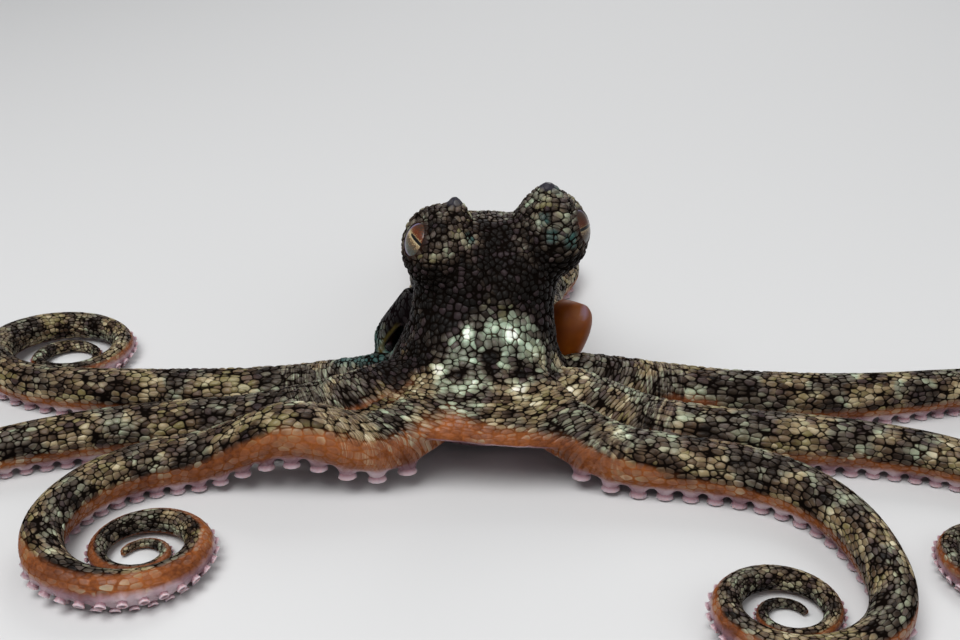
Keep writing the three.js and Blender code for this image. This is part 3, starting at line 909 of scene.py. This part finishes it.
# Where each region of the skin begins and where it is full
skinSpans = {
    # by height
    "low": (42, 32),
    "high": (22, 28),
    "neckLow": (18, 26),
    "neckHigh": (62, 52),
    "warmLow": (36, 27),
    "warmHigh": (46, 54),
    "hollowShadeTop": (46, 38),
    # by distance from the middle
    "skirt": (78, 60),
    "outerArm": (50, 80),
    # by degrees from the front
    "front": (100, 62),
    "neckFront": (150, 105),
    # by place towards the left or the back
    "farRight": (-22, -42),
    "pocketSide": (-13, -18),
    "flankFront": (36, 32),
    # by how far upwards the skin faces
    "under": (-0.1, -0.45),
    # by height on an arm, in arm radii
    "sole": (-0.42, -0.7),
    "armTop": (0.1, 0.6),
    # by degrees beyond the eye's opening, and by distance from its middle or from a horn's point
    "lids": (13, 4),
    "lidReach": (14, 11),
    "horns": (3.8, 2.4),
    # by distance from the collar's rim, and from the middles of the pocket and flank in their radii
    "rim": (1.5, 0.8),
    "pocket": (1.2, 1.02),
    "flank": (1.2, 1.05),
    "region": (1, 0.8),
}
# How much of their grains some places lose, where the undersides, horns, rim and the hollow's painted shade
# lose them all
skinSmoothness = {"rust": 0.9, "lids": 0.9, "collar": 0.6}


def inSpan(name, x):
    return smoothStep(x, *skinSpans[name])


def markShare(spots, mark):
    return smoothStep(farFrom(spots, mark[:3]), mark[3], mark[3] * skinMarks["core"])


# How far each spot lies towards the free margin of the web that it is on, 1 at the margin
def webShare(reach, azimuth):
    rows = sorted((web["azimuth"], web["rib"][2][0]) for web in webs)
    margin = column([(-180, rows[-1][1])] + rows, azimuth)
    return (reach - webShape["crown"]) / (margin - webShape["crown"])


# Shares that lie by the collar, on its rim, and in the hollow behind it and above, which is painted
# near-black as shade
def collarShares(spots, high):
    x, y, z = spots.T
    middle, reach = np.array(collarShape["region"])
    byCollar = inSpan("region", np.abs((spots - middle) / reach)).prod(1)
    line = alongPoints(collarShape["edge"], np.linspace(*collarShape["rim"]))
    near = np.nonzero(byCollar)[0]
    rim = np.zeros(len(spots))
    rim[near] = inSpan("rim", np.linalg.norm(spots[near][:, None, :] - line[None, :, :], axis=2).min(1))
    pocket, flank = (farFrom(spots, *collarShape[name]) for name in ("pocket", "flank"))
    # painted shade: near-black in the pocket, on the flank behind the gap and above the collar
    hollowShade = np.maximum.reduce([inSpan("pocket", pocket) * inSpan("pocketSide", x),
                                collarShape["shade"] * high * byCollar * inSpan("hollowShadeTop", z),
                                inSpan("flank", flank) * inSpan("flankFront", y)])
    return byCollar, rim, hollowShade


def eyeShares(spots):
    lids, horns = np.zeros(len(spots)), np.zeros(len(spots))
    for eye in eyes:
        beyond, distance = measureEye(eye, spots)
        lids = np.maximum(lids, inSpan("lids", beyond) * inSpan("lidReach", distance))
        horns = np.maximum(horns, hornShare(spots, eye, eye["horn"][2], skinSpans["horns"]))
    return lids, horns


def regionLight(spots, azimuth, onArm, mantle):
    x, z = spots[:, 0], spots[:, 2]
    light = column(skinLight["front"], z)
    light = blendTo(skinLight["behind"], light, inSpan("front", np.abs(azimuth)))
    neck = inSpan("neckLow", z) * inSpan("neckHigh", z) * inSpan("neckFront", np.abs(azimuth))
    # the neck's sides darkened, partly the skin's own colour and partly painted shade
    for way, start, growth, amount in skinLight["neckSide"]:
        begin = start + growth * np.clip(skinLight["neckTop"] - z, *skinLight["neckDrop"])
        light -= amount * neck * smoothStep(way * azimuth, begin, begin + skinLight["neckFade"])
    light = blendTo(light, skinLight["arm"], np.maximum(onArm, inSpan("farRight", x)))
    return blendTo(light, skinLight["mantle"], mantle)


# Every attribute that the skin's relief and material read
def skinShares(flesh):
    spots, facing = readSpots(flesh), readNormals(flesh)[:, 2]
    x, y, z = spots.T
    reach, azimuth = np.hypot(x, y), np.degrees(np.arctan2(x, -y))
    arm = measureArms(spots)
    mantle = mantleShare(spots, arm)
    onArm = smoothStep(arm["reach"], *armShape["skin"]) * (1 - mantle)
    low, high = inSpan("low", z) * (1 - mantle), inSpan("high", z)
    lids, horns = eyeShares(spots)
    byCollar, rim, hollowShade = collarShares(spots, high)
    ventral = np.maximum(inSpan("under", facing) * low * (1 - onArm), onArm * inSpan("sole", arm["up"]))

    # rust on the webs' margins and the arms' sides
    begin, top = column(rustStart, azimuth), column(rustHeight, azimuth)
    margin = smoothStep(webShare(reach, azimuth), begin, begin + rustFade["web"])
    margin *= low * inSpan("skirt", reach)
    margin *= 1 - onArm * inSpan("armTop", arm["up"])
    side = onArm * smoothStep(arm["up"], top, top - rustFade["arm"])
    rust = np.clip(np.maximum(side, margin), 0, 1)

    light = regionLight(spots, azimuth, onArm * inSpan("outerArm", reach), mantle)
    light = blendTo(light, blendTo(skinLight["collarFoot"], skinLight["collar"], high), byCollar)
    # the tone marks include painted shade along the furrow between the mounds
    light += sum(mark[4] * markShare(spots, mark) for mark in skinMarks["tones"])
    teal = [markShare(spots, mark) for mark in skinMarks["teal"]]
    teal = np.maximum.reduce(teal + [byCollar * (1 - high)])
    warm = np.maximum(inSpan("warmLow", z), 0.5 * inSpan("warmHigh", z)) * (1 - byCollar)

    relief = 1 - np.maximum.reduce([ventral, horns, rim, hollowShade, skinSmoothness["rust"] * rust,
                                    skinSmoothness["lids"] * lids,
                                    skinSmoothness["collar"] * byCollar * high])
    raised = relief * smoothStep(reach, *skinShape["reliefReach"]) * skinShape["relief"] * mm
    crown, body, share = grainCoordinates(spots, arm)
    return {"crownGrains": crown, "bodyGrains": body, "bodyShare": share, "relief": relief, "raised": raised,
            "rust": rust, "ventral": ventral, "light": light, "warm": warm, "teal": teal, "lids": lids,
            "horns": horns, "rim": rim, "hollowShade": hollowShade}


def finishFlesh(flesh):
    for name, values in skinShares(flesh).items():
        storeAttribute(flesh, name, values)
    raiseGrains(flesh)
    applyModifier(flesh, "DECIMATE", ratio=skinShape["triangles"] / countTriangles(flesh))
    for name, values in skinShares(flesh).items():
        storeAttribute(flesh, name, values)
    print("skin finished:", countTriangles(flesh), "triangles")


def newMaterial(name, inputs):
    material = bpy.data.materials.new(name)
    material.use_nodes = True
    shader = material.node_tree.nodes["Principled BSDF"]
    setInputs(shader, inputs)
    return material, material.node_tree, shader


skinColours = {
    # the grooves' dark colours are partly the skin's own and partly painted shade in the creases
    "groove": "#0d0907",
    "paleGroove": "#3e3728",
    "grains": [(0, "#0f0c0a"), (0.2, "#28211b"), (0.38, "#4a443a"), (0.54, "#6d7462"), (0.7, "#96aa91"),
               (0.86, "#c6d5be"), (1, "#eff3e8")],
    "warmGrains": [(0, "#150e0a"), (0.2, "#34251a"), (0.38, "#584530"), (0.54, "#7e6b4b"), (0.7, "#a99a78"),
                   (0.86, "#d1c8a9"), (1, "#f0ebdc")],
    "mauve": "#6a565c",
    "olive": "#66622a",
    "teal": "#365b57",
    "rust": [(0, "#2e1a10"), (0.3, "#5f3520"), (0.6, "#95572f"), (1, "#c59468")],
    "ventral": [(0, "#75585f"), (0.5, "#9c8088"), (1, "#bda9ae")],
    "lids": "#2a1b15",
    "horns": "#35343b",
    "rim": "#4c4220",
    # painted shade of the hollow by the collar
    "hollowShade": "#0c0709",
}
skinPatterns = {
    "patch": {"Scale": 0.32, "Detail": 2},  # in grains, so patches of about three
    "blotch": {"Scale": 70, "Detail": 2},  # per metre, so blotches 14 mm wide
    "fine": {"Scale": 900, "Detail": 4},  # per metre, so a fine grain of 1.1 mm
}
skinLook = {
    "toneDrop": 1.04,  # balances what the random shares add on average
    "tones": (0.38, 1.2, 0.5),  # how far a grain's own share, the patches and the blotches move its tone
    "brown": (0.25, 1),
    "mauve": 0.14,
    "olive": 0.5,
    "teal": (0.2, 0.65),
    "grooveWidth": (0.03, -0.03),  # added round the darkest and the palest grains
    "rustFromLight": (0.75, -0.36),
    "rustTones": (0.12, 0.4, 0.5),  # how far a grain's own share, fine grain and blotches move the rust
    "grainsOnRust": 0.5,
    "rustStreaks": (0.9, -0.45),
    "cover": {"lids": 0.8, "horns": 0.85, "hollowShade": 1, "rim": 0.8},
    "roughness": (0.75, 0.45),  # of the grooves and of the grains
    "gloss": (0.1, 0.42),  # of the darkest and of the palest grains
    "fineRelief": 0.25,  # of a grain's height
    "bump": {"Strength": 0.6, "Distance": 0.5 * mm},
}


# Live octopus skin: wet, soft and granular. Close-set rounded grains, each of its own tone, stand
# between dark grooves, and give the eye a pebbled surface with a low gloss.
def makeSkinMaterial():
    material, tree, shader = newMaterial("wetGranularSkin", {
        "Subsurface Weight": 0.08, "Subsurface Scale": 0.002, "Subsurface Radius": (1, 0.45, 0.3)})
    names = ("crownGrains", "bodyGrains", "bodyShare", "relief", "rust", "ventral", "light", "warm", "teal",
             "lids", "horns", "rim", "hollowShade")
    read = {name: addNode(tree, "attribute", attribute_name=name).outputs for name in names}
    share = {name: outputs["Fac"] for name, outputs in read.items()}
    flows = [read[name]["Vector"] for name in ("crownGrains", "bodyGrains")]
    inside, cell = grainPattern(tree, flows, share["bodyShare"])
    red, green, blue = addNode(tree, "ShaderNodeSeparateColor", [cell]).outputs
    place = addNode(tree, "ShaderNodeTexCoord").outputs["Object"]
    flow = addNode(tree, "ShaderNodeMix", (share["bodyShare"], *flows), data_type="VECTOR")
    patch, blotch, fine = (addNode(tree, "noise", {"Vector": vector, **skinPatterns[name]})
                           for name, vector in (("patch", flow), ("blotch", place), ("fine", place)))

    # each grain's tone, from where it lies, its own random share and soft patches
    level = addNode(tree, "SUBTRACT", (share["light"], skinLook["toneDrop"]))
    for source, amount in zip((red, patch, blotch), skinLook["tones"]):
        level = addNode(tree, "MULTIPLY_ADD", (source, amount, level))
    cool, warm = (addNode(tree, "ramp", [level], skinColours[name]) for name in ("grains", "warmGrains"))
    brown = addNode(tree, "remap", (blotch, 0.44, 0.56, *skinLook["brown"]))
    brown = addNode(tree, "MULTIPLY", (brown, share["warm"]))
    grains = addNode(tree, "mix", (brown, cool, warm))
    mauve = addNode(tree, "remap", (green, 0.78, 0.86, 0, skinLook["mauve"]))
    olive = skinLook["olive"]
    for source, low, high in ((blue, 0.5, 0.8), (blotch, 0.52, 0.62), (level, 0.15, 0.45)):
        olive = addNode(tree, "MULTIPLY", (olive, addNode(tree, "remap", (source, low, high))))
    teal = addNode(tree, "remap", (blue, 0.1, 0.7, *skinLook["teal"]))
    teal = addNode(tree, "MULTIPLY", (share["teal"], teal))
    for amount, name in ((mauve, "mauve"), (olive, "olive"), (teal, "teal")):
        grains = addNode(tree, "mix", (amount, grains, skinColours[name]))

    # the grooves between the grains, narrower and paler where the grains are light. Their darkness is partly
    # the skin's own colour and partly painted shade in the creases
    pale = addNode(tree, "remap", (level, 0.5, 0.85))
    groove = addNode(tree, "mix", (pale, skinColours["groove"], skinColours["paleGroove"]))
    width = addNode(tree, "remap", (level, 0.1, 0.6, *skinLook["grooveWidth"]))
    between = addNode(tree, "SUBTRACT", (inside, width))
    between = addNode(tree, "remap", (between, -0.06, 0.14))
    colour = addNode(tree, "mix", (between, groove, grains))

    # the web's margin and the arms' sides, with grains that show where they are light
    rustLevel = addNode(tree, "MULTIPLY_ADD", (share["light"], *skinLook["rustFromLight"]))
    for source, amount in zip((red, fine, blotch), skinLook["rustTones"]):
        rustLevel = addNode(tree, "MULTIPLY_ADD", (source, amount, rustLevel))
    rust = addNode(tree, "ramp", [rustLevel], skinColours["rust"])
    shown = addNode(tree, "remap", (level, 0.35, 0.8, 0, skinLook["grainsOnRust"]))
    shown = addNode(tree, "MULTIPLY", (between, shown))
    rust = addNode(tree, "mix", (shown, rust, grains))
    streaked = addNode(tree, "MULTIPLY_ADD", (patch, *skinLook["rustStreaks"]))
    streaked = addNode(tree, "ADD", (streaked, share["rust"]))
    streaked = addNode(tree, "remap", (streaked, 0.12, 0.75))
    colour = addNode(tree, "mix", (streaked, colour, rust))
    ventral = addNode(tree, "remap", (blotch, 0.35, 0.65))
    ventral = addNode(tree, "ramp", [ventral], skinColours["ventral"])
    colour = addNode(tree, "mix", (share["ventral"], colour, ventral))
    # lids, horns and rim in their own colours, and the hollow's painted near-black shade
    for name, amount in skinLook["cover"].items():
        amount = addNode(tree, "MULTIPLY", (share[name], amount))
        colour = addNode(tree, "mix", (amount, colour, skinColours[name]))

    rough = addNode(tree, "remap", (between, 0, 1, *skinLook["roughness"]))
    gloss = addNode(tree, "remap", (level, 0.1, 0.55, *skinLook["gloss"]))
    gloss = addNode(tree, "MULTIPLY", (gloss, between))
    dome = addNode(tree, "remap", (inside, *grainFlow["dome"]))
    dome = addNode(tree, "MULTIPLY", (dome, share["relief"]))
    height = addNode(tree, "MULTIPLY_ADD", (fine, skinLook["fineRelief"], dome))
    bump = addNode(tree, "ShaderNodeBump", {"Height": height, **skinLook["bump"]})
    setInputs(shader, {"Base Color": colour, "Roughness": rough, "Specular IOR Level": gloss,
                       "Normal": bump})
    return material


irisColours = {
    "above": [(0.09, "#94805c"), (0.14, "#5e2c0e"), (0.3, "#5a2408"), (0.55, "#3e2612"), (1, "#2a221c")],
    "below": [(0.09, "#b3a482"), (0.2, "#967f5c"), (0.32, "#5a4430"), (0.5, "#4c4230"), (0.75, "#3f423c"),
              (1, "#505552")],
    "pupil": "#020202",
    # painted shade that darkens one eye's iris
    "irisShade": "#2c170f",
    "rim": "#776f8c",
}
irisLook = {
    "streaks": {"Scale": 20, "Detail": 5},  # per eyeball radius, so streaks of 0.4 mm
    "wander": (5.6, -1.2),  # how far the streaks shift the bands of colour
    "slit": [(0.42, 4), (0.058, 2)],  # its half length and half width in eyeball radii, and their powers
    "outline": (0.79, 0.72),  # where the pale rim round the iris begins and is full
}


# An octopus's living eye: a streaked iris, rust above the black slit and cream below, under a clear wet
# surface that gives one sharp highlight
def makeEyeMaterial():
    material, tree, shader = newMaterial("wetOctopusEye", {
        "Roughness": 0.4, "Specular IOR Level": 0.2, "Coat Weight": 0.6, "Coat Roughness": 0.04,
        "Coat IOR": 1.376})
    place = addNode(tree, "attribute", attribute_name="irisPlace").outputs["Vector"]
    along, across, ahead = addNode(tree, "ShaderNodeSeparateXYZ", [place]).outputs
    streaks = addNode(tree, "noise", {"Vector": place, **irisLook["streaks"]})
    wander = addNode(tree, "MULTIPLY_ADD", (streaks, *irisLook["wander"]))
    distance = addNode(tree, "ABSOLUTE", [across])
    distance = addNode(tree, "MULTIPLY", (distance, wander))
    above, below = (addNode(tree, "ramp", [distance], irisColours[name]) for name in ("above", "below"))
    side = addNode(tree, "remap", (across, -0.03, 0.03))
    colour = addNode(tree, "mix", (side, below, above))
    # painted shade over the whole iris of one eye, by its own share
    irisShade = addNode(tree, "attribute", attribute_name="irisShade").outputs["Fac"]
    outer = addNode(tree, "remap", (ahead, *irisLook["outline"]))
    edge = 0
    for value, (half, power) in zip((along, across), irisLook["slit"]):
        share = addNode(tree, "DIVIDE", (value, half))
        share = addNode(tree, "ABSOLUTE", [share])
        share = addNode(tree, "POWER", (share, power))
        edge = addNode(tree, "ADD", (share, edge))
    slit = addNode(tree, "remap", (edge, 1.15, 0.85))
    for amount, name in ((irisShade, "irisShade"), (outer, "rim"), (slit, "pupil")):
        colour = addNode(tree, "mix", (amount, colour, irisColours[name]))
    setInputs(shader, {"Base Color": colour})
    return material


# Bare wet skin of the funnel: smooth, thin and a little translucent, brown, with a pale lilac painted
# highlight
def makeFunnelMaterial():
    material, tree, shader = newMaterial("smoothFunnelSkin", {
        "Roughness": 0.42, "Specular IOR Level": 0.3, "Subsurface Weight": 0.2, "Subsurface Scale": 0.002})
    place = addNode(tree, "ShaderNodeTexCoord").outputs["Object"]
    blotch = addNode(tree, "noise", {"Vector": place, "Scale": 120, "Detail": 3})  # 8 mm wide
    skin = addNode(tree, "ramp", [blotch], [(0.3, "#6a3004"), (0.5, "#7c3c06"), (0.75, "#904e0c")])
    # painted highlight: a pale lilac patch near the top of the funnel
    funnelHighlight = addNode(tree, "attribute", attribute_name="funnelHighlight").outputs["Fac"]
    setInputs(shader, {"Base Color": addNode(tree, "mix", (funnelHighlight, skin, "#9a7884"))})
    return material


# The suckers' bare cups: soft, pale and translucent, paler towards the rim, with a wet gloss. Their
# darkening into the hollow and towards the stalk is partly their own colour and partly painted shade
def makeCupMaterial():
    material, tree, shader = newMaterial("softSuckerSkin", {
        "Roughness": 0.35, "Subsurface Weight": 0.35, "Subsurface Scale": 0.0015,
        "Subsurface Radius": (1, 0.5, 0.4)})
    tone = addNode(tree, "attribute", attribute_name="tone").outputs["Fac"]
    skin = addNode(tree, "ramp", [tone], [(0, "#4c343a"), (0.5, "#937078"), (1, "#cdb9bf")])
    setInputs(shader, {"Base Color": skin})
    return material


funnelShape = {
    "line": [(19.5, 17, 8.5), (23, 16.5, 17), (26.5, 17, 26), (28.3, 20, 31.5)],
    # share of its length, half width, half depth, with the bore at the end
    "rows": [(-0.04, 0, 0), (0, 5, 5), (0.3, 7, 5.6), (0.6, 7.4, 5.6), (0.85, 6.4, 5), (0.97, 4.8, 4),
             (1, 3.6, 3.2), (0.97, 2.7, 2.4), (0.8, 2.4, 2.2), (0.78, 0, 0)],
    "around": 36,
    "rings": 6,  # for each row
    "tangent": 0.02,  # share of its length over which its direction is measured
    "funnelHighlight": [(31, 16, 30), (1.6, 4, 3)],  # place and reach of its painted highlight, a pale lilac patch
    "funnelHighlightFade": (1, 0.4),
}


def makeFunnel():
    rows, line = np.array(funnelShape["rows"]), funnelShape["line"]

    def place(u, v):
        share, width, depth = alongPoints(rows, v).T
        width, depth = np.maximum(width, 0), np.maximum(depth, 0)
        middle = alongPoints(line, share)
        ahead = alongPoints(line, share + funnelShape["tangent"])
        ahead -= alongPoints(line, share - funnelShape["tangent"])
        ahead /= np.linalg.norm(ahead, axis=1)[:, None]
        beside = np.cross(ahead, (0, -1, 0))
        beside /= np.linalg.norm(beside, axis=1)[:, None]
        outward = np.cross(ahead, beside)
        turn = (2 * np.pi * u)[:, None]
        return middle + beside * np.cos(turn) * width[:, None] + outward * np.sin(turn) * depth[:, None]

    rings = (len(rows) - 1) * funnelShape["rings"]
    funnel = shapedGrid("octopus_funnel", funnelShape["around"], rings, place)
    # the painted highlight's share, full at its place and fading out
    distance = farFrom(readSpots(funnel), *funnelShape["funnelHighlight"])
    storeAttribute(funnel, "funnelHighlight", smoothStep(distance, *funnelShape["funnelHighlightFade"]))
    return funnel


def makeEye(eye):
    radius = eyeShape["radius"]
    ball = shapedBall("eyeball_" + eye["name"], eye["centre"], (radius,) * 3, segments=64, rings=40)
    place = (readSpots(ball) - eye["centre"]) @ eyeAxes(eye["gaze"], eye["roll"]).T / radius
    storeAttribute(ball, "irisPlace", place)
    storeAttribute(ball, "irisShade", np.full(len(place), eye["irisShade"]))
    return ball


def finishPiece(piece, material, body="root"):
    piece.data.materials.clear()
    piece.data.materials.append(material)
    selectOnly(piece)
    bpy.ops.object.shade_smooth()
    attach(piece, body)


flesh = makeFlesh()
softenFlesh(flesh)
shapeFurrow(flesh)
shapeLids(flesh)
finishFlesh(flesh)
finishPiece(flesh, makeSkinMaterial())
fleshParts = ("crown", "head", "mantle", "arm", "web")
fleshNodes = [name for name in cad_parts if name.split("_")[0] in fleshParts]
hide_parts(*fleshNodes)
cupMaterial = makeCupMaterial()
for arm in arms:
    finishPiece(makeCups(arm), cupMaterial)
print("suckers placed")
eyeMaterial = makeEyeMaterial()
for eye in eyes:
    ball = makeEye(eye)
    finishPiece(ball, eyeMaterial)
    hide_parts("eye_" + eye["name"])
funnel = makeFunnel()
finishPiece(funnel, makeFunnelMaterial())
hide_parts("funnel")
print("eyes and funnel placed")

# Painted studio floor: matt and pale, so that it gives soft contact shadows and no reflection
bpy.ops.mesh.primitive_plane_add(size=30)
floor = bpy.context.object
floor.name = "studio_floor"
floorInputs = {"Base Color": (0.6, 0.6, 0.6, 1), "Roughness": 0.9}
floor.data.materials.append(newMaterial("mattStudioFloor", floorInputs)[0])

cameraView = {"target": (-1.5, 0, 34.8), "distance": 400, "elevation": 25, "lens": 50}
elevation = math.radians(cameraView["elevation"])
back = Vector((0, -math.cos(elevation), math.sin(elevation)))
bpy.ops.object.camera_add(location=(Vector(cameraView["target"]) + back * cameraView["distance"]) * mm,
                          rotation=(math.pi / 2 - elevation, 0, 0))
camera = bpy.context.object
camera.data.lens = cameraView["lens"]
camera.data.clip_start = 0.01
bpy.context.scene.camera = camera

# Each soft lamp's place in metres, its size and its power
lamps = [("key", (-0.3, -0.45, 1.0), 0.7, 12), ("fill", (0.8, -0.5, 0.5), 0.9, 3),
         ("rim", (0.2, 0.9, 0.8), 0.7, 5)]
for name, place, size, power in lamps:
    bpy.ops.object.light_add(type="AREA", location=place)
    lamp = bpy.context.object
    lamp.name = name
    lamp.data.size = size
    lamp.data.energy = power
    lamp.rotation_euler = (-Vector(place)).to_track_quat("-Z", "Y").to_euler()

world = bpy.data.worlds.new("studio")
world.use_nodes = True
setInputs(world.node_tree.nodes["Background"], {"Color": (0.75, 0.77, 0.8, 1), "Strength": 0.3})
bpy.context.scene.world = world
bpy.context.scene.view_settings.view_transform = "Standard"
